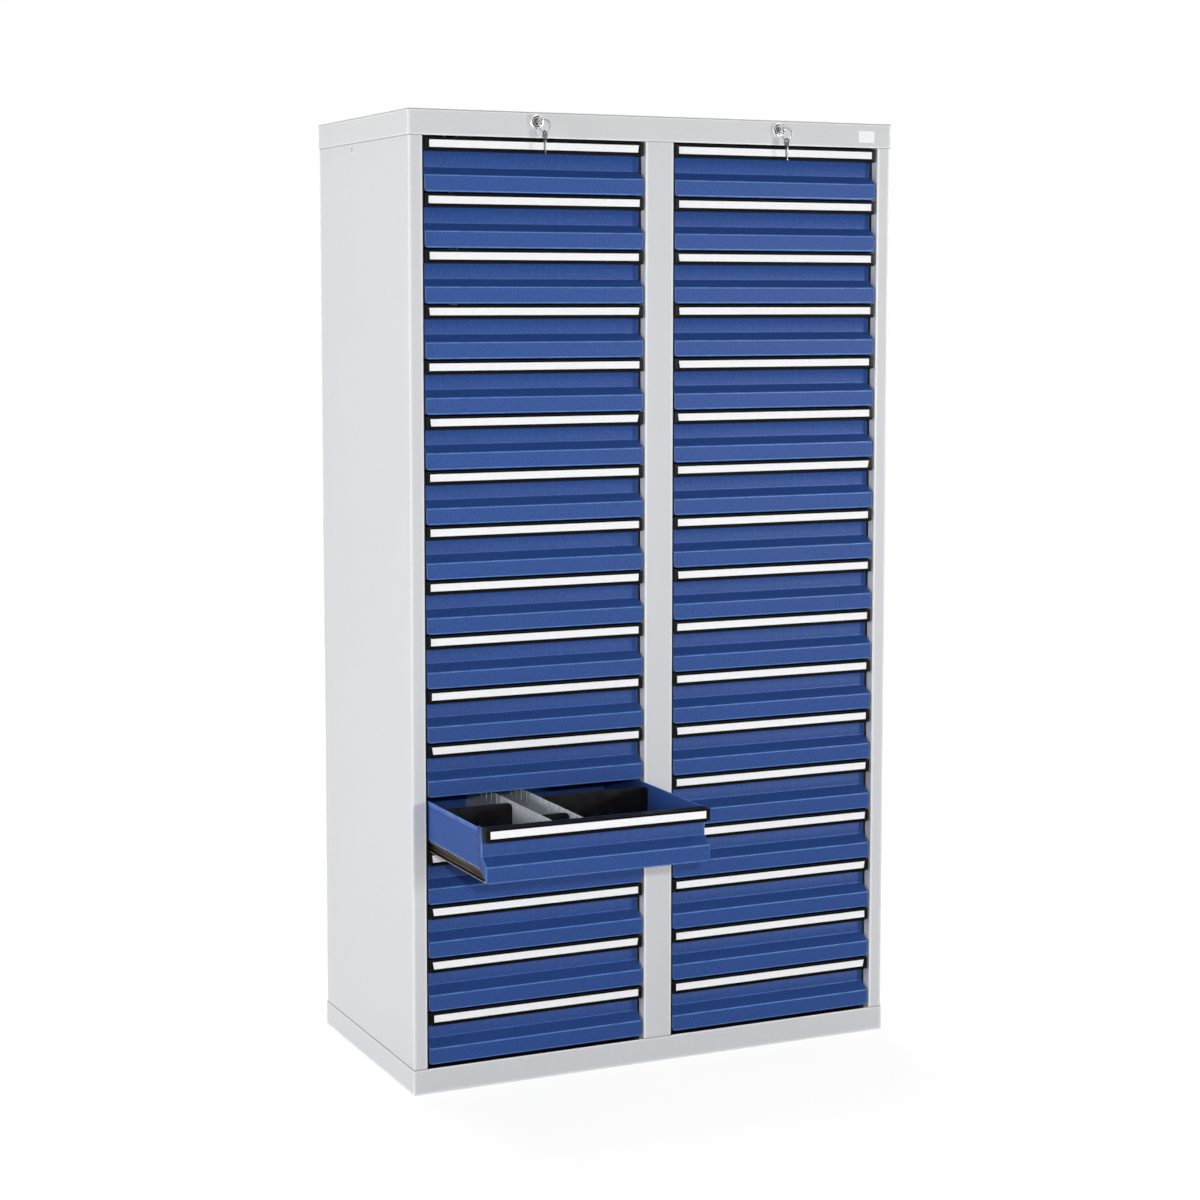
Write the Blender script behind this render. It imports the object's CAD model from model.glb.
"""The parts cabinet as it looks: camera, light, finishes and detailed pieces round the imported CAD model."""

import math
import random

import bmesh
import bpy
from mathutils import Matrix, Vector


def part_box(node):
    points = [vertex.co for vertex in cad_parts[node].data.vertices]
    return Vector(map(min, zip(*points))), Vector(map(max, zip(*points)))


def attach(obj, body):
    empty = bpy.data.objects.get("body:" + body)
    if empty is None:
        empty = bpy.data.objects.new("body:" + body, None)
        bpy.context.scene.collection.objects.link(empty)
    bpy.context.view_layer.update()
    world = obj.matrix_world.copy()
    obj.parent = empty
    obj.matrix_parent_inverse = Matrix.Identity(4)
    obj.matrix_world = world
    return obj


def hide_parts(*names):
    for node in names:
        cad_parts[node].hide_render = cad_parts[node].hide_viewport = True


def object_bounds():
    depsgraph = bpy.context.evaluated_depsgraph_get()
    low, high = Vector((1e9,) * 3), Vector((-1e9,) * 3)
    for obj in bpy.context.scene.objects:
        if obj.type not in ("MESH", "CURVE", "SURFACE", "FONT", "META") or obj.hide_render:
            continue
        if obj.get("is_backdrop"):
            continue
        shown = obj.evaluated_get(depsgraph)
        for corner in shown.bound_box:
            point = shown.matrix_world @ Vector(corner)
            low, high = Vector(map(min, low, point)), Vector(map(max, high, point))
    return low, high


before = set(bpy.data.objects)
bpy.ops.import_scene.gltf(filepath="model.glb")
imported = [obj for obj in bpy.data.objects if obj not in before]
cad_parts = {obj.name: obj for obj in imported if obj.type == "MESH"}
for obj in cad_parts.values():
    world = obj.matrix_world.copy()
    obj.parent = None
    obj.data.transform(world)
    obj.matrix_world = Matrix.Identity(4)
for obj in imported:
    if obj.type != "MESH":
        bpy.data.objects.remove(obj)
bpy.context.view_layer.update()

MM = 0.001  # meshes are drawn in millimetres and stored in metres


# ---------------------------------------------------------------- helpers

def place(name, mesh, at=(0, 0, 0)):
    piece = bpy.data.objects.new(name, mesh)
    piece.location = at
    bpy.context.collection.objects.link(piece)
    return piece


def blank_tree(owner):
    """The emptied node tree of a material or world."""
    owner.use_nodes = True
    owner.node_tree.nodes.clear()
    return owner.node_tree


def add_node(tree, kind, inputs=None, **settings):
    """Adds a shader node. Its inputs, by name or number, take a value or another node's output."""
    node = tree.nodes.new("ShaderNode" + kind)
    for name, value in settings.items():
        setattr(node, name, value)
    for socket, value in (inputs or {}).items():
        if isinstance(value, bpy.types.NodeSocket):
            tree.links.new(value, node.inputs[socket])
        else:
            node.inputs[socket].default_value = value
    return node


def grey(tone):
    return (tone, tone, tone, 1)


# ---------------------------------------------------------------- camera, floor and light

CAMERA_AT = (-2.0418, -4.3819, 1.4653)
CAMERA_YAW = 24.9038
CAMERA_PITCH = 5.1095
CAMERA_ROLL = 0.0333
CAMERA_LENS = 73.5291
CAMERA_SENSOR = 36
CAMERA_SHIFT_Y = -0.07
CAMERA_CLIP_END = 50

# a small key light near the camera, fills from the front, and one softbox for each other side:
# name, place, the point it faces, width and height, watts
SOFTBOXES = (
    ("key", (-1.84, -4.6, 1.74), (0, -0.25, 0.8), (0.12, 0.12), 68),
    ("front_fill", (-0.3, -7.0, 0.2), (0, -0.25, 0.4), (3.2, 2.4), 100),
    ("left_fill", (-5.0, -0.4, 0.45), (-0.5, 0, 0.6), (2.4, 2.6), 248),
    ("right_strip", (3.0, -4.4, 1.3), (0.3, -0.25, 0.7), (0.6, 0.6), 82),
    ("right_fill", (5.0, 0.5, 1.2), (0.5, 0, 0.9), (2.4, 2.6), 100),
    ("back_fill", (0.8, 5.2, 1.7), (0, 0.25, 0.8), (2.6, 2.6), 130),
    ("top_fill", (0, 1.2, 4.8), (0, 0.1, 1.8), (2.4, 2.0), 110),
)
AMBIENT = 0.12  # the world's strength for all but the camera and reflections

FLOOR_REACH = 30
FLOOR_LIT = 0.5  # its tone for the light that it throws back
FLOOR_SEEN = 0.2  # its tone for the camera, which also sees it glow
FLOOR_GLOW = (0.87, 0.985)  # strength near the cabinet, and far from it
FLOOR_FADE = (0.9, 3.5)  # how far from the middle the glow starts to grow, and where it ends


def direction(yaw, pitch):
    """Unit vector towards +Y at yaw 0, to the right for a positive yaw, and down for a positive pitch."""
    yaw, pitch = math.radians(yaw), math.radians(pitch)
    return Vector((math.sin(yaw) * math.cos(pitch), math.cos(yaw) * math.cos(pitch), -math.sin(pitch)))


def add_camera():
    data = bpy.data.cameras.new("camera")
    data.sensor_width = CAMERA_SENSOR
    data.lens = CAMERA_LENS
    data.shift_y = CAMERA_SHIFT_Y
    data.clip_end = CAMERA_CLIP_END
    camera = place("camera", data)
    back = -direction(CAMERA_YAW, CAMERA_PITCH)
    right = Vector((0, 0, 1)).cross(back).normalized()
    upright = Matrix((right, back.cross(right), back)).transposed()
    turn = upright @ Matrix.Rotation(math.radians(CAMERA_ROLL), 3, "Z")
    camera.matrix_world = Matrix.Translation(CAMERA_AT) @ turn.to_4x4()
    bpy.context.scene.camera = camera


def add_softbox(name, at, look_at, size, power):
    data = bpy.data.lights.new(name, "AREA")
    data.shape = "RECTANGLE"
    data.size, data.size_y = size
    data.energy = power
    light = place(name, data, at)
    light.rotation_euler = (Vector(look_at) - Vector(at)).to_track_quat("-Z", "Y").to_euler()


def add_world():
    """White to the camera and in reflections, and a weak even light for everything else."""
    world = bpy.data.worlds.new("studio")
    tree = blank_tree(world)
    rays = add_node(tree, "LightPath").outputs
    either = add_node(tree, "Math", {0: rays["Is Glossy Ray"], 1: rays["Is Transmission Ray"]},
                      operation="MAXIMUM")
    seen = add_node(tree, "Math", {0: rays["Is Camera Ray"], 1: either.outputs[0]}, operation="MAXIMUM")
    light = add_node(tree, "Background", {"Color": grey(1), "Strength": AMBIENT})
    white = add_node(tree, "Background", {"Color": grey(1), "Strength": 1.0})
    mix = add_node(tree, "MixShader", {"Fac": seen.outputs[0], 1: light.outputs[0], 2: white.outputs[0]})
    add_node(tree, "OutputWorld", {"Surface": mix.outputs[0]})
    bpy.context.scene.world = world


def add_floor():
    """A pale floor. Most of its white is its own, so it meets the background and keeps the shadow."""
    r = FLOOR_REACH
    mesh = bpy.data.meshes.new("floor")
    mesh.from_pydata([(-r, -r, 0), (r, -r, 0), (r, r, 0), (-r, r, 0)], [], [(0, 1, 2, 3)])
    material = bpy.data.materials.new("floor")
    tree = blank_tree(material)
    middle = add_node(tree, "TexCoord").outputs["Object"]
    away = add_node(tree, "VectorMath", {0: middle}, operation="LENGTH")
    glow = add_node(tree, "MapRange", {"Value": away.outputs["Value"],
                                       "From Min": FLOOR_FADE[0], "From Max": FLOOR_FADE[1],
                                       "To Min": FLOOR_GLOW[0], "To Max": FLOOR_GLOW[1]})
    own = add_node(tree, "Emission", {"Color": grey(1), "Strength": glow.outputs[0]})
    shaded = add_node(tree, "BsdfDiffuse", {"Color": grey(FLOOR_SEEN)})
    seen = add_node(tree, "AddShader", {0: shaded.outputs[0], 1: own.outputs[0]})
    lit = add_node(tree, "BsdfDiffuse", {"Color": grey(FLOOR_LIT)})
    camera_ray = add_node(tree, "LightPath").outputs["Is Camera Ray"]
    mix = add_node(tree, "MixShader", {"Fac": camera_ray, 1: lit.outputs[0], 2: seen.outputs[0]})
    add_node(tree, "OutputMaterial", {"Surface": mix.outputs[0]})
    mesh.materials.append(material)
    floor = place("floor", mesh)
    floor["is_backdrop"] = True


bpy.context.scene.view_settings.view_transform = "Standard"
add_camera()
add_world()
for softbox in SOFTBOXES:
    add_softbox(*softbox)
add_floor()


# ---------------------------------------------------------------- materials

WORN = "worn"  # a mesh attribute: 1 on the bends, where the coat is thin and catches the light
BEND_ROUGH = 0.26  # the coat is drawn thin and smooth over a bend
FADE_HEIGHTS = (0.5, 1.2)  # the blue is darker in pieces below the first, and as it is above the second
FADE_TONE = 0.88

FRONT_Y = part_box("top_cap")[0][1]
TOP_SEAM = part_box("top_cap")[0][2]
BASE_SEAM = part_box("base_tray")[1][2]
TOP_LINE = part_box("top_cap")[1][2] - 0.0016
SEAM_REACH = 0.001
OPENING_MIDDLE = 0.2505  # the openings, left and right of the centre, have no seams
OPENING_REACH = 0.2205

CARCASE_EDGE = 0.006
EDGE_COSINES = (0.93, 0.995)  # how much the rounded normal agrees with the flat one, at an edge and off it
EDGE_SAMPLES = 6

INSIDE_DEPTH = 0.0225  # the carcase is dark from this far behind its front
OUTER_SKIN = 0.0005
INSIDE_ENDS = (  # along X, Y and Z
    (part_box("side_panel_left")[0][0] + OUTER_SKIN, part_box("side_panel_right")[1][0] - OUTER_SKIN),
    (FRONT_Y + INSIDE_DEPTH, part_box("back_panel")[1][1] - OUTER_SKIN),
    (0.0015, 1.7985),
)
INSIDE = [((low + high) / 2, (high - low) / 2) for low, high in INSIDE_ENDS]


class Shader:
    """A Principled material whose sockets are fed by a few kinds of pattern in object coordinates."""

    def __init__(self, name, **fixed):
        self.material = bpy.data.materials.new(name)
        self.tree = blank_tree(self.material)
        self.bsdf = self.node("BsdfPrincipled", {name.replace("_", " "): fixed[name] for name in fixed})
        self.node("OutputMaterial", {"Surface": self.bsdf.outputs[0]})
        self.coordinates = self.node("TexCoord").outputs["Object"]
        self.bump = None

    def node(self, kind, inputs=None, **settings):
        return add_node(self.tree, kind, inputs, **settings)

    def noise(self, size, detail=2.0, roughness=0.5, stretch=None):
        """Noise whose blotches are about size metres across, and may be stretched along the axes."""
        where = self.coordinates
        if stretch:
            where = self.node("Mapping", {"Scale": stretch, "Vector": where}).outputs[0]
        return self.node("TexNoise", {"Scale": 1 / size, "Detail": detail, "Roughness": roughness,
                                      "Vector": where}).outputs["Fac"]

    def grains(self, size):
        """Distance to the nearest of many grains, size metres apart."""
        return self.node("TexVoronoi", {"Scale": 1 / size, "Vector": self.coordinates}).outputs["Distance"]

    def spread(self, value, low, high, start=0.3, end=0.7):
        """Maps start..end of a pattern to low..high."""
        return self.node("MapRange", {"Value": value, "From Min": start, "From Max": end, "To Min": low,
                                      "To Max": high}).outputs[0]

    def blend(self, amount, first, second):
        """Mixes two colours, each a tuple or an output, by a pattern."""
        first, second = (c + (1,) if isinstance(c, tuple) else c for c in (first, second))
        return self.node("Mix", {"Factor": amount, 6: first, 7: second}, data_type="RGBA").outputs[2]

    def worn(self):
        return self.node("Attribute", attribute_name=WORN).outputs["Fac"]

    def math(self, operation, *values):
        return self.node("Math", dict(enumerate(values)), operation=operation).outputs[0]

    def times(self, first, second):
        return self.math("MULTIPLY", first, second)

    def near(self, value, centre, reach):
        """1 where a value is within reach of the centre, otherwise 0."""
        return self.math("COMPARE", value, centre, reach)

    def axis(self, index):
        """One object coordinate, 0 to 2 for X to Z."""
        return self.node("SeparateXYZ", {0: self.coordinates}).outputs[index]

    def height(self):
        """How high the whole piece sits."""
        location = self.node("ObjectInfo").outputs["Location"]
        return self.node("SeparateXYZ", {0: location}).outputs[2]

    def tinted(self, colour, factor):
        """A colour output times a grey."""
        return self.node("VectorMath", {0: colour, "Scale": factor}, operation="SCALE").outputs[0]

    def near_edge(self, radius):
        """1 close to the edges of the shape, where a rounded normal leaves the flat one."""
        soft = self.node("Bevel", {"Radius": radius}, samples=EDGE_SAMPLES).outputs[0]
        flat = self.node("NewGeometry").outputs["True Normal"]
        agree = self.node("VectorMath", {0: soft, 1: flat}, operation="DOT_PRODUCT").outputs["Value"]
        return self.spread(agree, 1.0, 0.0, *EDGE_COSINES)

    def feed(self, socket, output):
        self.tree.links.new(output, self.bsdf.inputs[socket])

    def raise_by(self, height, distance, strength):
        """Adds a bump of distance metres on top of the ones before."""
        inputs = {"Distance": distance, "Strength": strength, "Height": height}
        if self.bump:
            inputs["Normal"] = self.bump
        self.bump = self.node("Bump", inputs).outputs[0]
        self.feed("Normal", self.bump)


def tint(colour, factor):
    return tuple(min(1.0, c * factor) for c in colour)


def mottled(shader, colour, grain, grain_tone, cloud_tone):
    """A colour that differs by grain_tone from grain to grain, and goes to cloud_tone in wide clouds."""
    fine = shader.blend(shader.spread(grain, 0.0, 1.0, 0.32, 0.68), tint(colour, 1 - grain_tone),
                        tint(colour, 1 + grain_tone))
    cloud = shader.noise(0.22, detail=3)
    return shader.blend(shader.spread(cloud, 0.0, 0.35), fine, tint(colour, cloud_tone))


def add_orange_peel(shader, grain):
    """The uneven surface of stove enamel."""
    shader.raise_by(grain, 0.00018, 0.35)
    shader.raise_by(shader.grains(0.0016), 0.00006, 0.3)


def drawer_coat(name, colour, bend):
    """Blue stove enamel, mottled, with bends that shine and show a lighter coat. It is darker low down."""
    shader = Shader(name, Specular_IOR_Level=0.15)
    grain = shader.noise(0.0038, detail=3, roughness=0.6, stretch=(1, 1, 0.6))
    flat = mottled(shader, colour, grain, 0.18, 0.94)
    rubbed = shader.times(shader.worn(), shader.spread(shader.noise(0.03, detail=4), 0.6, 1.0, 0.35, 0.6))
    coat = shader.blend(rubbed, flat, bend)
    high_up = shader.spread(shader.height(), 0.0, 1.0, *FADE_HEIGHTS)
    shader.feed("Base Color", shader.blend(high_up, shader.tinted(coat, FADE_TONE), coat))
    shader.feed("Roughness", shader.spread(shader.worn(), 0.45, BEND_ROUGH, 0.0, 0.3))
    add_orange_peel(shader, grain)
    return shader.material


def carcase_coat(name, colour, edge, seam, dim):
    """Grey stove enamel with pale folded edges, thin darker lines at the joints, and a dark inside."""
    shader = Shader(name, Specular_IOR_Level=0.3)
    grain = shader.noise(0.0034, detail=3, roughness=0.6)
    edges = shader.near_edge(CARCASE_EDGE)
    coat = shader.blend(edges, mottled(shader, colour, grain, 0.02, 0.95), edge)
    across, depth, height = (shader.axis(i) for i in range(3))
    joint = shader.math("MAXIMUM", shader.near(height, TOP_SEAM, SEAM_REACH),
                        shader.near(height, BASE_SEAM, SEAM_REACH))
    opening = shader.near(shader.math("ABSOLUTE", across), OPENING_MIDDLE, OPENING_REACH)
    joint = shader.times(joint, shader.math("SUBTRACT", 1.0, opening))
    lines = shader.math("MAXIMUM", joint, shader.near(height, TOP_LINE, SEAM_REACH))
    in_x, in_y, in_z = (shader.near(axis, *span) for axis, span in zip((across, depth, height), INSIDE))
    inside = shader.times(in_y, shader.times(in_x, in_z))
    shader.feed("Base Color", shader.blend(inside, shader.blend(lines, coat, seam), dim))
    shader.feed("Roughness", shader.spread(edges, 0.5, 0.3, 0.0, 1.0))
    add_orange_peel(shader, grain)
    return shader.material


def black_plastic(name, shine, rough):
    """Black plastic: fine lines along the strip, faint dust and slightly lighter edges."""
    shader = Shader(name, Specular_IOR_Level=shine)
    lines = shader.noise(0.0012, detail=2, stretch=(0.02, 1, 1))
    dust = shader.noise(0.02, detail=5, roughness=0.7)
    dusty = shader.spread(dust, 0.0, 1.0, 0.45, 0.8)
    base = shader.blend(dusty, (0.003, 0.003, 0.0034), (0.008, 0.008, 0.009))
    shader.feed("Base Color", shader.blend(shader.times(shader.worn(), 0.35), base, (0.03, 0.03, 0.034)))
    shader.feed("Roughness", shader.spread(dust, rough - 0.06, rough + 0.08))
    shader.raise_by(lines, 0.00008, 0.4)
    return shader.material


def label_card(name):
    """White card with faint bluish fibres."""
    shader = Shader(name, Roughness=0.6, Specular_IOR_Level=0.3)
    fibres = shader.noise(0.006, detail=5, roughness=0.6, stretch=(0.6, 1, 1))
    bluish = shader.spread(fibres, 0.0, 1.0, 0.42, 0.66)
    shader.feed("Base Color", shader.blend(bluish, (0.97, 0.97, 0.97), (0.9, 0.925, 0.96)))
    shader.raise_by(fibres, 0.00002, 0.2)
    return shader.material


def bright_metal(name, light, dark, rough, metallic=1.0):
    """Plated or galvanised metal: cloudy tone, uneven polish and fine scratches."""
    shader = Shader(name, Metallic=metallic)
    cloud = shader.noise(0.012, detail=4, roughness=0.6)
    scratch = shader.noise(0.0009, detail=3)
    shader.feed("Base Color", shader.blend(shader.spread(cloud, 0.0, 1.0, 0.35, 0.68), dark, light))
    shader.feed("Roughness", shader.spread(scratch, rough * 0.75, rough * 1.35))
    shader.raise_by(scratch, 0.00003, 0.25)
    return shader.material


def runner_steel(name, light, dark):
    """Phosphated runner steel: nearly black with a brown sheen where the grease lies."""
    shader = Shader(name, Metallic=0.55, Specular_IOR_Level=0.5)
    grease = shader.noise(0.018, detail=5, roughness=0.65, stretch=(1, 0.25, 1))
    shader.feed("Base Color", shader.blend(shader.spread(grease, 0.0, 1.0, 0.35, 0.65), dark, light))
    shader.feed("Roughness", shader.spread(grease, 0.3, 0.55))
    shader.raise_by(shader.noise(0.0015, detail=3, stretch=(1, 0.08, 1)), 0.00006, 0.4)
    return shader.material


blue_coat = drawer_coat("blue_coat", colour=(0.033, 0.088, 0.312), bend=(0.12, 0.26, 0.64))
grey_coat = carcase_coat("grey_coat", colour=(0.66, 0.665, 0.685), edge=(0.95, 0.95, 0.95),
                         seam=(0.4, 0.4, 0.41), dim=(0.06, 0.06, 0.062))
strip_black = black_plastic("strip_black", shine=0.04, rough=0.45)
cap_black = black_plastic("cap_black", shine=0.1, rough=0.35)
divider_black = black_plastic("divider_black", shine=0.2, rough=0.4)
lock_dark = black_plastic("lock_dark", shine=0.3, rough=0.5)
card_white = label_card("label_card")
plate_white = label_card("plate_white")
zinc = bright_metal("zinc", (0.62, 0.64, 0.66), (0.46, 0.49, 0.52), 0.34)
nickel = bright_metal("nickel", (0.93, 0.93, 0.92), (0.62, 0.62, 0.61), 0.2)
key_steel = bright_metal("key_steel", (0.5, 0.5, 0.49), (0.18, 0.18, 0.18), 0.25)
plug_steel = bright_metal("plug_steel", (0.1, 0.1, 0.1), (0.04, 0.04, 0.04), 0.3)
sheet_zinc = bright_metal("sheet_zinc", (0.74, 0.77, 0.79), (0.6, 0.64, 0.67), 0.5, metallic=0.35)
rail_edge = bright_metal("rail_edge", (0.8, 0.74, 0.6), (0.4, 0.36, 0.28), 0.3)
runner_black = runner_steel("runner_black", (0.05, 0.042, 0.032), (0.014, 0.012, 0.011))
track_brown = runner_steel("track_brown", (0.2, 0.15, 0.085), (0.07, 0.052, 0.035))


# ---------------------------------------------------------------- drawing tools, in millimetres

BEND_STEPS = 4
BEND_MARGIN = 0.8
SHARP_ANGLE = math.radians(35)

AXES = {  # the directions along, across and up for a shape that is drawn out along an axis
    "x": ((1, 0, 0), (0, 1, 0), (0, 0, 1)),
    "y": ((0, 1, 0), (1, 0, 0), (0, 0, 1)),
    "z": ((0, 0, 1), (1, 0, 0), (0, 1, 0)),
}


def corner(before, point, after, radius, worn):
    """The arc that rounds a corner as (x, y, worn), with a plain point on each side where there is room."""
    p, a, b = Vector(point), Vector(before), Vector(after)
    u, v = (a - p).normalized(), (b - p).normalized()
    half = u.angle(v) / 2
    reach = radius / math.tan(half)
    middle = p + (u + v).normalized() * (radius / math.sin(half))
    start, end = p + u * reach - middle, p + v * reach - middle
    first = math.atan2(start.y, start.x)
    turn = math.remainder(math.atan2(end.y, end.x) - first, math.tau)
    arc = []
    for i in range(BEND_STEPS + 1):
        angle = first + turn * i / BEND_STEPS
        arc.append((middle.x + radius * math.cos(angle), middle.y + radius * math.sin(angle), worn))
    around = []
    if (a - p).length > 2 * (reach + BEND_MARGIN):
        around.append(tuple(p + u * (reach + BEND_MARGIN)) + (0.0,))
    around += arc
    if (b - p).length > 2 * (reach + BEND_MARGIN):
        around.append(tuple(p + v * (reach + BEND_MARGIN)) + (0.0,))
    return around


def rounded(points, closed=True):
    """Rounds a path of (x, y), (x, y, radius) or (x, y, radius, worn), and gives (x, y, worn)."""
    path = []
    for i, point in enumerate(points):
        end = not closed and i in (0, len(points) - 1)
        if len(point) == 2 or end:
            path.append((point[0], point[1], 0.0))
            continue
        before, after = points[i - 1][:2], points[(i + 1) % len(points)][:2]
        path += corner(before, point[:2], after, point[2], point[3] if len(point) == 4 else 1.0)
    return path


class Drawing:
    """A mesh in the making."""

    def __init__(self):
        self.bm = bmesh.new()
        self.worn = self.bm.verts.layers.float.new(WORN)
        self.slot = 0

    def point(self, x, y, z, worn=0.0):
        vertex = self.bm.verts.new((x, y, z))
        vertex[self.worn] = worn
        return vertex

    def face(self, vertices):
        face = self.bm.faces.new(vertices)
        face.material_index = self.slot
        face.smooth = True

    def prism(self, loop, axis, low, high):
        """A closed outline of (across, up, worn) drawn out along an axis, with both ends shut."""
        along, across, up = (Vector(a) for a in AXES[axis])
        rings = []
        for end in (low, high):
            rings.append([self.point(*(along * end + across * u + up * v), worn) for u, v, worn in loop])
        self.join(rings[0], rings[1])
        self.face(rings[0][::-1])
        self.face(rings[1])

    def join(self, first, second, closed=True):
        """A band of faces between two rows of as many points, which are rings if closed."""
        count = len(first)
        for i in range(count if closed else count - 1):
            j = (i + 1) % count
            self.face((first[i], first[j], second[j], second[i]))

    def box(self, low, high, radius, axis):
        """A block whose four edges along an axis are rounded."""
        a, u, v = {"x": (0, 1, 2), "y": (1, 0, 2), "z": (2, 0, 1)}[axis]
        corners = [(low[u], low[v], radius), (high[u], low[v], radius), (high[u], high[v], radius),
                   (low[u], high[v], radius)]
        self.prism(rounded(corners), axis, low[a], high[a])

    def lathe(self, profile, middle, axis="y", steps=48):
        """A profile of (radius, place along the axis) turned round an axis through middle."""
        along, across, up = (Vector(a) for a in AXES[axis])
        middle = Vector(middle)
        rings = []
        for radius, place in profile:
            if radius == 0:
                rings.append([self.point(*(middle + along * place))])
                continue
            ring = []
            for i in range(steps):
                angle = math.tau * i / steps
                out = across * math.cos(angle) + up * math.sin(angle)
                ring.append(self.point(*(middle + along * place + radius * out)))
            rings.append(ring)
        for one, two in zip(rings, rings[1:]):
            if len(one) == 1 or len(two) == 1:
                tip, rim = (one, two) if len(one) == 1 else (two, one)
                for i in range(steps):
                    self.face((tip[0], rim[i], rim[(i + 1) % steps]))
            else:
                self.join(one, two)

    def mirrored(self):
        """Adds the mirror image in X of all that is drawn so far."""
        drawn = self.bm.verts[:] + self.bm.edges[:] + self.bm.faces[:]
        for copy in bmesh.ops.duplicate(self.bm, geom=drawn)["geom"]:
            if isinstance(copy, bmesh.types.BMVert):
                copy.co.x = -copy.co.x

    def mesh(self, name, materials, sharp=SHARP_ANGLE):
        bmesh.ops.recalc_face_normals(self.bm, faces=self.bm.faces[:])
        bmesh.ops.scale(self.bm, vec=(MM, MM, MM), verts=self.bm.verts[:])
        mesh = bpy.data.meshes.new(name)
        self.bm.to_mesh(mesh)
        self.bm.free()
        for material in materials:
            mesh.materials.append(material)
        mesh.set_sharp_from_angle(angle=sharp)
        return mesh


# ---------------------------------------------------------------- drawer sizes, in millimetres
#
# A drawer is drawn with the middle of its front's lower edge at 0, 0, 0. The sizes that the open drawer's
# nodes show are taken from them.

handle_low, handle_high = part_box("open_drawer_handle")
front_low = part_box("open_drawer_front")[0]
pan_low, pan_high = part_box("open_drawer_pan")
members_low, members_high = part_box("open_drawer_runners")

FRONT_W, RECESS, HANDLE_H = ((high - low) / MM for low, high in zip(handle_low, handle_high))
FACE_W = FRONT_W - 1.4  # the front and its strip leave a little more room at their sides than the CAD's
FRONT_H = (handle_high[2] - front_low[2]) / MM
PAN_TOP = (pan_high[2] - front_low[2]) / MM
PAN_LIFT = (pan_low[2] - front_low[2]) / MM
PAN_Y = (pan_low[1] - front_low[1]) / MM
SHEET = 1.0
PAN_W = FRONT_W - 2 * SHEET
PAN_D = 430.0
LOWER_FACE_H = 30.0
SLOPE_TOP = 44.5
FRONT_CORNER = 7.0
FLANGE = 15.0
HEM_H = 8.0
END_CAP_W = 7.0
LABEL_EDGE = 6.5
LABEL_H = 13.5
LABEL_GROOVE = 1.0
CARD_STEPS = 24
CARD_BOW = 0.12
GRIP_H = 10.0
LIP = 5.0
MEMBER_X = 209.0
MEMBER_W = 8.5
MEMBER_T = 1.2
TRACK_Z, TRACK_D, TRACK_H = (6.0, 14.2), 2.6, 1.8
LIP_T, LIP_H = 0.4, 1.1
MEMBER_Y = ((members_low[1] - front_low[1]) / MM, (members_high[1] - front_low[1]) / MM)
MEMBER_Z = (2.0, PAN_LIFT)
RIVET_Z = 58.0
GAP = 0.05  # between shapes of one piece, or of pieces that touch, so that no faces coincide
FRONT_BEND, SIDE_BEND = 2.2, 1.6
PAN_BEND, HEM_BEND = 2.0, 0.4


# ---------------------------------------------------------------- one drawer

def front_outline(z):
    """Half the front's width at a height, which shrinks at the rounded lower corners."""
    if z >= FRONT_CORNER:
        return FACE_W / 2
    drop = FRONT_CORNER - z
    return FACE_W / 2 - FRONT_CORNER + math.sqrt(max(0.0, FRONT_CORNER ** 2 - drop ** 2))


def draw_front():
    """The folded front: bottom fold, lower face, slope and recess, with its sides bent back as flanges."""
    drawing = Drawing()
    rest = FRONT_CORNER - FRONT_BEND
    above = [(0, FRONT_BEND + rest * i / BEND_STEPS) for i in range(1, BEND_STEPS + 1)]
    profile = rounded([(12, 0), (0, 0, FRONT_BEND, 0.9)] + above + [(0, LOWER_FACE_H, FRONT_BEND, 1.0),
                       (RECESS, SLOPE_TOP, FRONT_BEND, 0.35), (RECESS, FRONT_H)], closed=False)
    rows = []
    for y, z, worn in profile:
        half = front_outline(z)
        flat = half - SIDE_BEND
        row = []
        for s in (-1, 1):
            stations = [(s * (flat - BEND_MARGIN), y, z, worn)]
            for i in range(BEND_STEPS + 1):
                angle = math.pi / 2 * i / BEND_STEPS
                x = flat + SIDE_BEND * math.sin(angle)
                back = SIDE_BEND * (1 - math.cos(angle))
                stations.append((s * x, y + back, z, 0.6))
            stations.append((s * half, y + SIDE_BEND + BEND_MARGIN, z, 0.0))
            row.append([drawing.point(*p) for p in stations])
        rows.append(row[0][::-1] + row[1])
    for low, high in zip(rows, rows[1:]):
        drawing.join(low, high, closed=False)
    for s, end in ((-1, 0), (1, -1)):
        rear = []
        for y, z, _ in profile:
            deep = PAN_Y + FLANGE if z >= PAN_LIFT else y + SIDE_BEND + 3
            rear.append(drawing.point(s * front_outline(z), max(deep, y + SIDE_BEND + 1), z))
        drawing.join([row[end] for row in rows], rear, closed=False)
    return drawing.mesh("drawer_front", [blue_coat])


def add_thickness(piece, thickness):
    solid = piece.modifiers.new("sheet", "SOLIDIFY")
    solid.thickness = thickness * MM
    solid.offset = -1
    solid.use_even_offset = True


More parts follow.
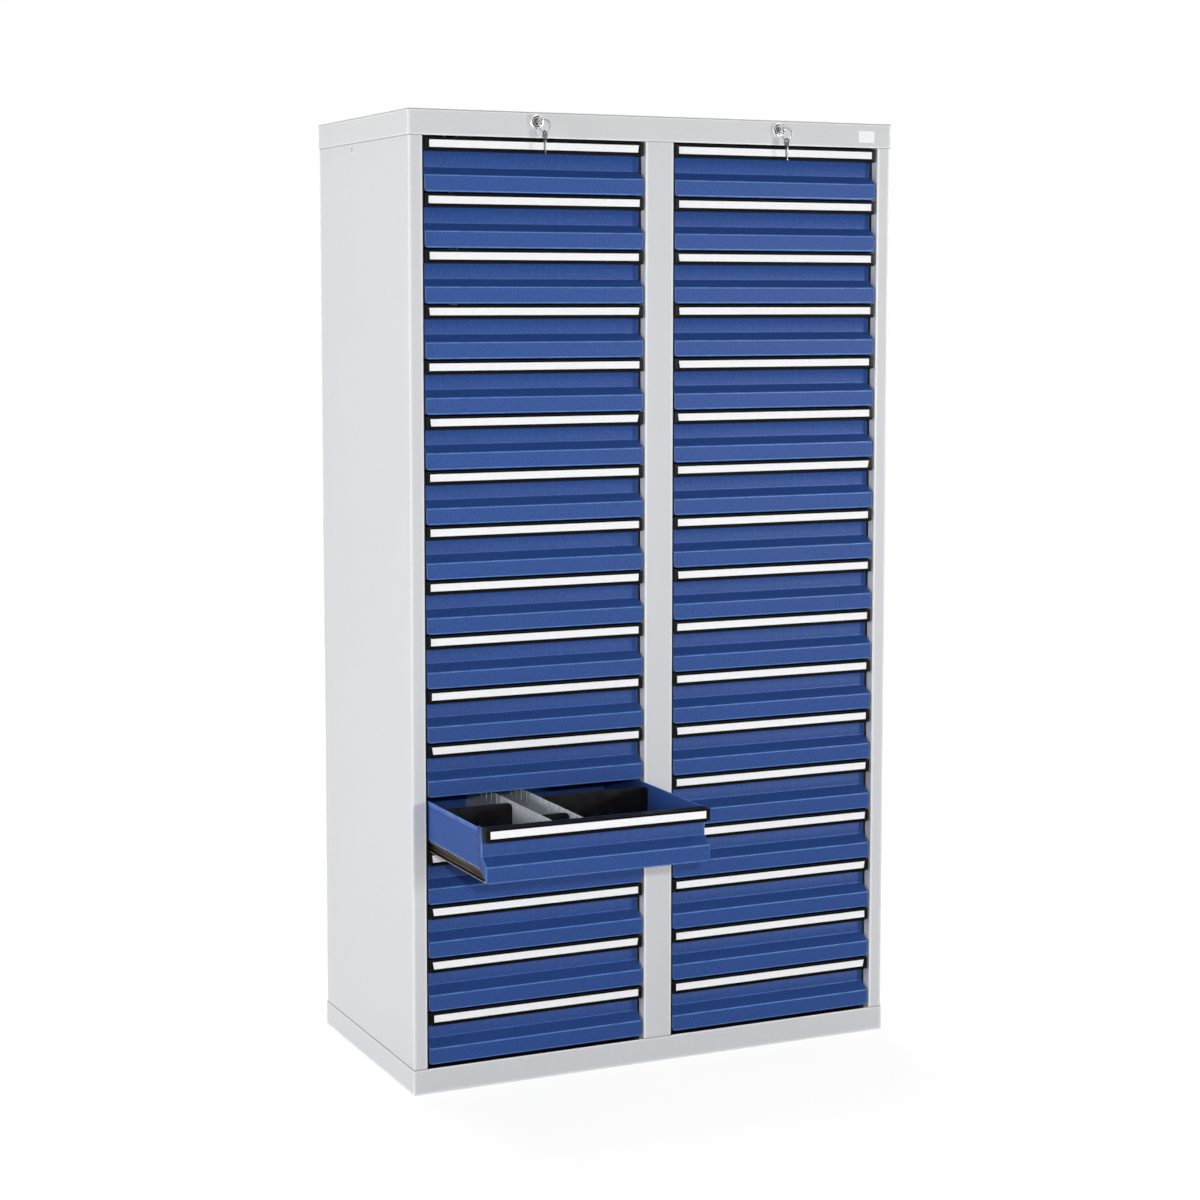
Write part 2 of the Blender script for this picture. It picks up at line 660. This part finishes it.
def draw_pan():
    """Floor, side walls and their rolled hem in one bent sheet, with a front and a back wall between."""
    drawing = Drawing()
    wall, inner, hem = PAN_W / 2, PAN_W / 2 - SHEET, FRONT_W / 2
    start, end = PAN_Y, PAN_Y + PAN_D
    hem_start = PAN_Y + FLANGE + 0.5
    floor_z, hem_z = PAN_LIFT + SHEET, PAN_TOP - HEM_H
    outside = [(-wall, PAN_LIFT, PAN_BEND), (wall, PAN_LIFT, PAN_BEND)]
    inside = [(inner, floor_z, PAN_BEND - SHEET), (-inner, floor_z, PAN_BEND - SHEET)]
    plain = rounded(outside + [(wall, PAN_TOP, HEM_BEND), (inner, PAN_TOP, HEM_BEND)] + inside
                    + [(-inner, PAN_TOP, HEM_BEND), (-wall, PAN_TOP, HEM_BEND)])
    hemmed = rounded(outside + [(wall, hem_z), (hem, hem_z, HEM_BEND, 0.5), (hem, PAN_TOP, 0.9),
                                (inner, PAN_TOP, 0.9)] + inside
                     + [(-inner, PAN_TOP, 0.9), (-hem, PAN_TOP, 0.9), (-hem, hem_z, HEM_BEND, 0.5),
                        (-wall, hem_z)])
    hemmed = [(x, z, max(worn, 0.5) if abs(x) > wall + 0.5 else worn) for x, z, worn in hemmed]
    drawing.prism(plain, "y", start, hem_start)
    drawing.prism(hemmed, "y", hem_start, end)
    for y in (start, end - SHEET):
        foot = PAN_LIFT + SHEET / 2
        edge = rounded([(y, foot), (y + SHEET, foot), (y + SHEET, PAN_TOP, 0.45), (y, PAN_TOP, 0.45)])
        drawing.prism(edge, "x", -inner, inner)
    return drawing.mesh("drawer_pan", [blue_coat])


def draw_strip():
    """The black extruded strip with its label channel and finger grip, and a moulded cap at each end."""
    drawing = Drawing()
    outer, base, back = FACE_W / 2, FRONT_H - HANDLE_H, RECESS - GAP
    inner = outer - END_CAP_W
    label_top = LABEL_EDGE + LABEL_H
    shape = rounded([(0, 0, 1.0), (0, LABEL_EDGE, 0.3), (LABEL_GROOVE, LABEL_EDGE), (LABEL_GROOVE, label_top),
                     (0, label_top, 0.3), (0, HANDLE_H, 0.8), (back, HANDLE_H, 0.4), (back, GRIP_H),
                     (LIP, GRIP_H, 0.5), (LIP, 0, 1.0)])
    drawing.prism([(y, z + base, w) for y, z, w in shape], "x", GAP - inner, inner - GAP)
    cap = rounded([(0, 0, 5.0), (0, HANDLE_H, 1.2), (back, HANDLE_H, 0.8), (back, 0, 0.8)])
    drawing.slot = 1
    rim = 1.2
    inset = rounded([(rim, rim, 4.2), (rim, HANDLE_H - rim, 0.8), (back - rim, HANDLE_H - rim, 0.5),
                     (back - rim, rim, 0.5)])
    for s in (-1, 1):
        loops = []
        for x, ring in ((inner, cap), (outer - 0.7, cap), (outer, inset)):
            loops.append([drawing.point(s * x, y, z + base, w) for y, z, w in ring])
        drawing.join(loops[0], loops[1])
        drawing.join(loops[1], loops[2])
        drawing.face(loops[0])
        drawing.face(loops[2])
    return drawing.mesh("drawer_strip", [strip_black, cap_black], sharp=math.radians(40))


def draw_card(seed):
    """One label card, pushed in a little to one side, a little bowed, and cut askew at its ends."""
    rng = random.Random(seed)
    drawing = Drawing()
    half = FACE_W / 2 - END_CAP_W - 1.0
    low = FRONT_H - HANDLE_H + LABEL_EDGE + 0.1
    high = low + LABEL_H - 0.2
    slide = rng.uniform(0, 2.5)
    skew = [rng.choice((0, 0, 1)) * rng.uniform(1.0, 2.6) for _ in range(2)]
    left, right = -half + slide * rng.random(), half - slide * rng.random()
    back, front = LABEL_GROOVE - GAP, LABEL_GROOVE - 0.45
    rings = []
    for i in range(CARD_STEPS + 1):
        t = i / CARD_STEPS
        bow = max(0, CARD_BOW * math.sin(math.pi * t * 3 + seed))
        x_low = left + skew[0] + (right - skew[1] - left - skew[0]) * t
        x_high = left + (right - left) * t
        rings.append([drawing.point(x_low, back, low), drawing.point(x_low, front - bow, low),
                      drawing.point(x_high, front - bow, high), drawing.point(x_high, back, high)])
    for one, two in zip(rings, rings[1:]):
        drawing.join(one, two)
    drawing.face(rings[0])
    drawing.face(rings[-1][::-1])
    return drawing.mesh(f"label_card_{seed}", [card_white])


def draw_runners():
    """The drawer members: rolled channels open to the cabinet, with two ball tracks and bright lips."""
    drawing = Drawing()
    x, w, t = MEMBER_X, MEMBER_W - LIP_T, MEMBER_T
    low, high = MEMBER_Z[0], MEMBER_Z[1] - GAP
    start, end = MEMBER_Y
    channel = [(x, low, 1.6), (x + w, low, 0.5), (x + w, low + t, 0.5), (x + t, low + t, 0.8),
               (x + t, high - t, 0.8), (x + w, high - t, 0.5), (x + w, high, 0.5), (x, high, 1.6)]
    drawing.prism(rounded(channel), "y", start, end)
    drawing.slot = 1
    for z in TRACK_Z:
        crest, top = x + t + TRACK_D, z + TRACK_H
        track = [(x + t, z), (crest, z, 0.7), (crest, top, 0.7), (x + t, top)]
        drawing.prism(rounded(track), "y", start + 14, end - 6)
    drawing.slot = 2
    for z in (low, high - LIP_H):
        lip, top = x + w + LIP_T, z + LIP_H
        edge = [(x + w, z, 0.3), (lip, z, 0.2), (lip, top, 0.2), (x + w, top, 0.3)]
        drawing.prism(rounded(edge), "y", start + 2, end - 2)
    drawing.mirrored()
    return drawing.mesh("drawer_runners", [runner_black, track_brown, rail_edge])


def draw_fittings():
    """Rivets at the flanges, the runners' front stops and the catch at the back."""
    drawing = Drawing()
    dome = [(2.5, 0), (2.45, 0.25), (2.1, 0.55), (1.4, 0.74), (0, 0.8)]
    drawing.slot = 1
    drawing.lathe(dome, (FACE_W / 2 + GAP, PAN_Y + FLANGE / 2, RIVET_Z), "x", 20)
    drawing.slot = 0
    stop_x, stop_y = MEMBER_X + MEMBER_T, MEMBER_Y[0]
    drawing.lathe([(2.2, 0), (2.2, 0.5), (1.5, 1.0), (0, 1.2)], (stop_x, stop_y + 7, 12), "x", 20)
    drawing.box((stop_x, stop_y + 1, 4.0), (stop_x + 6.5, stop_y + 9, 5.6), 0.4, "y")
    drawing.mirrored()
    half, t, low = 8.0, 3.0, PAN_TOP - 25
    rear = PAN_Y + PAN_D + GAP
    hook = rear + 18.5
    angle = [(rear, low, 1.5), (hook + t, low, 0.5), (hook + t, low + t, 0.5), (rear + t, low + t, 0.8),
             (rear + t, low + 15, 0.5), (rear, low + 15, 0.5)]
    drawing.prism(rounded(angle), "x", -half, half)
    drawing.box((-half, hook, low - 10), (half, hook + t, low - GAP), 0.5, "x")
    return drawing.mesh("drawer_fittings", [zinc, plug_steel])


drawer_front = draw_front()
drawer_pan = draw_pan()
drawer_strip = draw_strip()
drawer_runners = draw_runners()
drawer_fittings = draw_fittings()


def dress_drawer(name, body, at, nodes, seed):
    """Puts one drawer's pieces at its place. They ride on its body and replace its CAD nodes."""
    front = place(f"{name}_folded_front", drawer_front, at)
    add_thickness(front, SHEET)
    pieces = [
        (front, "drawer_blue", nodes["front"]),
        (place(f"{name}_pan_sheet", drawer_pan, at), "drawer_blue", nodes["pan"]),
        (place(f"{name}_handle_strip", drawer_strip, at), "strip_black", nodes["handle"]),
        (place(f"{name}_label_card", draw_card(seed), at), "card_white", nodes["label"]),
        (place(f"{name}_runner_members", drawer_runners, at), "runner_black", nodes["runners"]),
        (place(f"{name}_fittings", drawer_fittings, at), "zinc", nodes["pan"]),
    ]
    for piece, slot, node in pieces:
        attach(piece, body)
        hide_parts(node)


OPEN_SEED = 99
open_nodes = {part: f"open_drawer_{part}" for part in ("front", "pan", "handle", "label", "runners")}
for seed, node in enumerate(sorted(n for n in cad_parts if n.startswith("drawer_"))):
    low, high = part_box(node)
    shut_at = ((low[0] + high[0]) / 2, low[1], low[2])
    dress_drawer(node, node, shut_at, dict.fromkeys(open_nodes, node), seed)
open_at = ((handle_low[0] + handle_high[0]) / 2, front_low[1], front_low[2])
dress_drawer("open_drawer", "open_drawer", open_at, open_nodes, OPEN_SEED)


# ---------------------------------------------------------------- locks

LOCK_X = [sum(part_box(f"lock_plug_{side}")[i][0] for i in (0, 1)) / 2 for side in ("left", "right")]
LOCK_Z = sum(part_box("key_left")[i][2] for i in (0, 1)) / 2
HOUSING_BACK = (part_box("lock_housings")[1][1] - FRONT_Y) / MM
ROSETTE_R, BODY_R, BORE_R = 12.8, 9.0, 6.3
ROSETTE_T = 2.5
THREAD_PITCH, THREAD_DEPTH = 0.6, 0.35
NUT_R, NUT_FROM, NUT_TO = 13.0, 1.5, 6.5


def draw_rosette():
    """A lock housing: a turned rosette with a dark groove in it, the threaded body and its nut."""
    drawing = Drawing()
    face = -ROSETTE_T
    middle = (0, 0, 0)
    groove_out, groove_in = (10.0, face + 0.3), (8.0, face + 0.4)
    drawing.lathe([(ROSETTE_R, 0), (ROSETTE_R, face + 0.8), (ROSETTE_R - 0.5, face + 0.2),
                   (ROSETTE_R - 1.2, face), (10.2, face), groove_out], middle)
    drawing.slot = 1
    drawing.lathe([groove_out, (9.9, face + 1.4), (8.1, face + 1.4), groove_in], middle)
    drawing.slot = 0
    bore = [groove_in, (7.7, face + 0.1), (6.9, face + 0.1), (BORE_R, face + 0.6), (BORE_R, HOUSING_BACK)]
    thread = [(BODY_R - THREAD_DEPTH * (i % 2), 0.1 + i * THREAD_PITCH)
              for i in range(int(HOUSING_BACK / THREAD_PITCH))]
    drawing.lathe(bore + [(BODY_R - 0.6, HOUSING_BACK)] + thread[::-1] + [(ROSETTE_R, 0)], middle)
    turns = [math.tau * i / 6 for i in range(6)]
    hexagon = [(NUT_R * math.cos(turn), NUT_R * math.sin(turn), 0.6) for turn in turns]
    drawing.prism(rounded(hexagon), "y", NUT_FROM, NUT_TO)
    return drawing.mesh("lock_rosette", [nickel, lock_dark], sharp=math.radians(30))


rosette = draw_rosette()
for side, x in zip(("left", "right"), LOCK_X):
    piece = place(f"lock_rosette_{side}", rosette, (x, FRONT_Y, LOCK_Z))
    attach(piece, "root")
    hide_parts("lock_housings")


# ---------------------------------------------------------------- dark strips in the gap beside the drawers

SIDE_GAP = 0.003  # from a drawer to the edge of its opening
STRIP_W = 2.4
STRIP_Y = (0.3, 3.6)
STRIP_CLEAR = 0.5  # above and below


def draw_gap_strip():
    """A black profile that lies in the gap along the left edge of an opening."""
    drawing = Drawing()
    top = (TOP_SEAM - BASE_SEAM) / MM - STRIP_CLEAR
    drawing.box((0, STRIP_Y[0], STRIP_CLEAR), (STRIP_W, STRIP_Y[1], top), 0.6, "z")
    return drawing.mesh("gap_strip", [strip_black])


gap_strip = draw_gap_strip()
for side in ("left", "right"):
    opening_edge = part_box(f"drawer_{side[0]}01")[0][0] - SIDE_GAP
    piece = place(f"gap_strip_{side}", gap_strip, (opening_edge, FRONT_Y, BASE_SEAM))
    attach(piece, "root")


# ---------------------------------------------------------------- CAD nodes that stay

WELD_DISTANCE = 0.00001
FLAT_ANGLE = math.radians(1)


def soften(node, width, material, edge=None, segments=2):
    """Gives a CAD node its finish and rounds its edges, which may take a finish of their own."""
    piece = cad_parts[node]
    piece.data.materials.clear()
    for finish in (material, edge):
        if finish:
            piece.data.materials.append(finish)
    weld = piece.modifiers.new("weld", "WELD")
    weld.merge_threshold = WELD_DISTANCE
    flat = piece.modifiers.new("flat_faces", "DECIMATE")
    flat.decimate_type = "DISSOLVE"
    flat.angle_limit = FLAT_ANGLE
    bevel = piece.modifiers.new("bevel", "BEVEL")
    bevel.width = width * MM
    bevel.segments = segments
    bevel.limit_method = "ANGLE"
    bevel.angle_limit = SHARP_ANGLE
    bevel.harden_normals = False
    if edge:
        bevel.material = 1
    piece.modifiers.new("normals", "WEIGHTED_NORMAL")


for node in ("top_cap", "base_tray", "side_panel_left", "side_panel_right", "centre_post"):
    soften(node, 0.7, grey_coat)
for node in ("back_panel", "rail_uprights"):
    soften(node, 0.4, grey_coat)
soften("cabinet_rails", 0.3, runner_black, segments=1)
soften("open_drawer_dividers", 0.3, sheet_zinc, segments=1)
soften("open_drawer_cross_dividers", 0.6, divider_black)
soften("blank_plate", 0.2, plate_white)
for side in ("left", "right"):
    soften(f"lock_plug_{side}", 0.4, plug_steel)
    soften(f"key_{side}", 0.5, nickel, lock_dark)
    soften(f"key_ring_{side}", 0.3, key_steel, lock_dark)
    soften(f"lock_bar_{side}", 0.4, zinc)
soften("lock_bar_guides", 0.5, zinc)
soften("back_screws", 0.4, zinc)


# ---------------------------------------------------------------- hand over

low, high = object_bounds()
